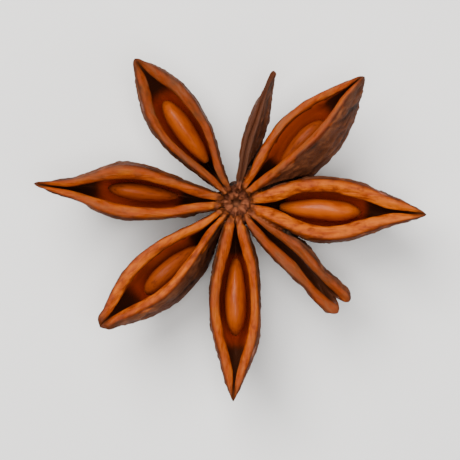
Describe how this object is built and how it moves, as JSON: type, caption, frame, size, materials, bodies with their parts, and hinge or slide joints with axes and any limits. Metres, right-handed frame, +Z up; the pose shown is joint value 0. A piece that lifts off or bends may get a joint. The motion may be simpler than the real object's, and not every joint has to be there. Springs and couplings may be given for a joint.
{
  "type": "star anise",
  "caption": "Dried spice fruit shaped as a star: woody boat-shaped pods round a short column, most split open over a glossy seed.",
  "frame": {"origin": "on the surface that the fruit lies on, under the middle of its box", "axes": "+Z up, out of the open mouths; +X along the widest span of the star, towards its broadest pod"},
  "size_m": [0.0336, 0.0294, 0.0089],
  "materials": {
    "husk": "dry woody husk, reddish brown and wrinkled outside, smoother orange brown on the lips and inside",
    "seed": "hard, glossy, orange-brown seed coat"
  },
  "bodies": {
    "root": {"husk": "husk", "seed_east": "seed", "seed_northeast": "seed", "seed_northwest": "seed", "seed_west": "seed", "seed_southwest": "seed", "seed_south": "seed"}
  },
  "joints": []
}
